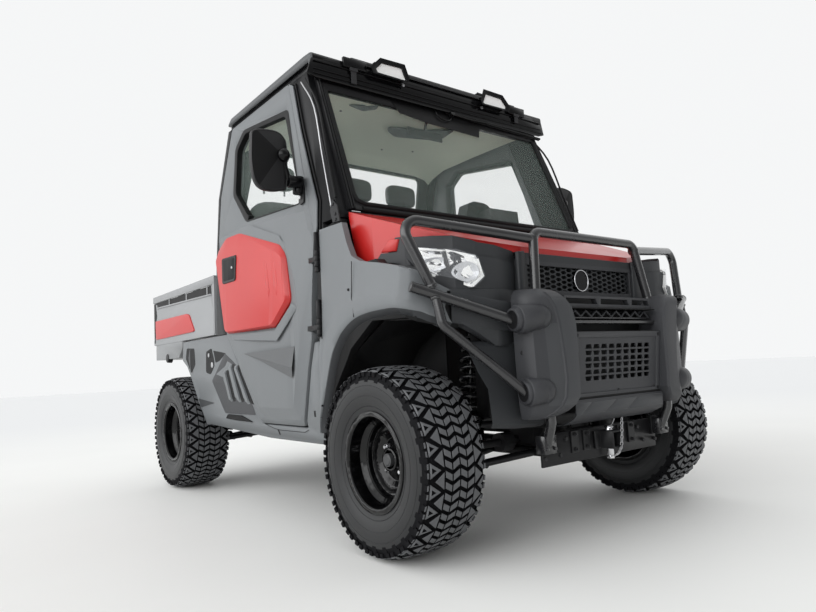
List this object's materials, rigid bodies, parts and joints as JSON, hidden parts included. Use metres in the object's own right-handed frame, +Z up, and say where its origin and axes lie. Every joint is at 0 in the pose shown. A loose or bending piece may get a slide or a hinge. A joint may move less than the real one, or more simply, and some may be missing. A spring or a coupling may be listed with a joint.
{
  "type": "side by side utility vehicle",
  "caption": "Side by side utility vehicle with a closed cab, brush guard, tipping cargo bed, opening doors and hood, and steered front wheels.",
  "frame": {"origin": "on the ground under the middle of the overall length, on the centre line", "axes": "+Z up, the front faces -Y, +X is the left side of the vehicle"},
  "size_m": [1.9574, 3.115, 2.015],
  "materials": {
    "frame_black": "satin",
    "engine_grey": "matt",
    "radiator_black": "matt",
    "spring_black": "gloss",
    "cast_grey": "matt",
    "cabin_plastic": "matt",
    "cab_black": "satin",
    "glass": "gloss",
    "roof_black": "gloss",
    "gloss_black": "gloss",
    "soft_black": "matt",
    "seat_vinyl": "satin",
    "grey_plastic": "satin",
    "grille_black": "satin",
    "lamp_clear": "gloss",
    "tube_black": "satin",
    "dark_plastic": "satin",
    "red_plastic": "satin",
    "bed_steel": "satin",
    "tyre": "matt",
    "rim_black": "gloss",
    "mirror_shell": "satin"
  },
  "bodies": {
    "chassis": {"bed_trestles": "frame_black", "brush_guard": "tube_black", "bumper": "dark_plastic", "cab_frame": "cab_black", "cab_glass": "glass", "chassis_frame": "frame_black", "dashboard": "cabin_plastic", "drivetrain": "cast_grey", "engine": "engine_grey", "floor_tub": "cabin_plastic", "front_fascia": "grey_plastic", "front_fenders": "grey_plastic", "front_suspension": "frame_black", "guard_covers": "dark_plastic", "headlamps": "lamp_clear", "headrests": "seat_vinyl", "hitch_receivers": "frame_black", "hood_hinges": "frame_black", "lower_grille": "grille_black", "rack_housing": "cast_grey", "radiator": "radiator_black", "rear_suspension": "frame_black", "rear_wall": "cabin_plastic", "roof": "roof_black", "roof_lamps": "gloss_black", "seat_backs": "seat_vinyl", "seat_cushions": "seat_vinyl", "side_panels": "grey_plastic", "skid_plate": "frame_black", "struts": "spring_black", "upper_grille": "grille_black"},
    "hood": {"hood": "red_plastic"},
    "cargo_bed": {"cargo_bed": "bed_steel"},
    "tailgate": {"tailgate": "bed_steel"},
    "door_left": {"door_glass_left": "glass", "door_left": "grey_plastic", "door_mirror_left": "mirror_shell", "door_panel_left": "red_plastic"},
    "door_right": {"door_glass_right": "glass", "door_mirror_right": "mirror_shell", "door_panel_right": "red_plastic", "door_right": "grey_plastic"},
    "knuckle_left": {"knuckle_front_left": "cast_grey"},
    "knuckle_right": {"knuckle_front_right": "cast_grey"},
    "wheel_front_left": {"tyre_front_left": "tyre", "rim_front_left": "rim_black"},
    "wheel_front_right": {"tyre_front_right": "tyre", "rim_front_right": "rim_black"},
    "wheel_rear_left": {"tyre_rear_left": "tyre", "rim_rear_left": "rim_black"},
    "wheel_rear_right": {"tyre_rear_right": "tyre", "rim_rear_right": "rim_black"},
    "steering_wheel": {"steering_wheel": "soft_black"},
    "steering_rack": {"steering_rack": "cast_grey"}
  },
  "joints": [
    {"name": "hood_hinge", "type": "hinge", "parent": "chassis", "child": "hood", "pos_m": [0, -0.9, 1.182], "axis": [-1, 0, 0], "range_deg": [0, 45]},
    {"name": "door_left_hinge", "type": "hinge", "parent": "chassis", "child": "door_left", "pos_m": [0.774, -0.736, 0.931], "axis": [0, 0, -1], "range_deg": [0, 70]},
    {"name": "door_right_hinge", "type": "hinge", "parent": "chassis", "child": "door_right", "pos_m": [-0.774, -0.736, 0.931], "axis": [0, 0, 1], "range_deg": [0, 70]},
    {"name": "bed_tip", "type": "hinge", "parent": "chassis", "child": "cargo_bed", "pos_m": [0, 1.394, 0.8], "axis": [-1, 0, 0], "range_deg": [0, 40]},
    {"name": "tailgate_hinge", "type": "hinge", "parent": "cargo_bed", "child": "tailgate", "pos_m": [0, 1.545, 0.868], "axis": [-1, 0, 0], "range_deg": [0, 90]},
    {"name": "steer_left", "type": "hinge", "parent": "chassis", "child": "knuckle_left", "pos_m": [0.64, -1.096, 0.318], "axis": [0, 0, 1], "range_deg": [-25, 25]},
    {"name": "steer_right", "type": "hinge", "parent": "chassis", "child": "knuckle_right", "pos_m": [-0.64, -1.096, 0.318], "axis": [0, 0, 1], "range_deg": [-25, 25]},
    {"name": "steering_wheel_turn", "type": "hinge", "parent": "chassis", "child": "steering_wheel", "pos_m": [0.375, -0.296, 1.235], "axis": [0, 0.848, 0.5299], "range_deg": [-450, 450]},
    {"name": "rack_slide", "type": "slide", "parent": "chassis", "child": "steering_rack", "axis": [1, 0, 0], "range_m": [-0.031, 0.031]},
    {"name": "wheel_front_left_spin", "type": "hinge", "parent": "knuckle_left", "child": "wheel_front_left", "pos_m": [0.6925, -1.096, 0.318], "axis": [1, 0, 0], "continuous": true},
    {"name": "wheel_front_right_spin", "type": "hinge", "parent": "knuckle_right", "child": "wheel_front_right", "pos_m": [-0.6925, -1.096, 0.318], "axis": [1, 0, 0], "continuous": true},
    {"name": "wheel_rear_left_spin", "type": "hinge", "parent": "chassis", "child": "wheel_rear_left", "pos_m": [0.6925, 0.974, 0.318], "axis": [1, 0, 0], "continuous": true},
    {"name": "wheel_rear_right_spin", "type": "hinge", "parent": "chassis", "child": "wheel_rear_right", "pos_m": [-0.6925, 0.974, 0.318], "axis": [1, 0, 0], "continuous": true}
  ],
  "couplings": [
    {"joint": "steer_right", "follows": "steer_left", "ratio": 1},
    {"joint": "steering_wheel_turn", "follows": "steer_left", "ratio": 18},
    {"joint": "rack_slide", "follows": "steer_left", "m_per_rad": -0.0675}
  ]
}
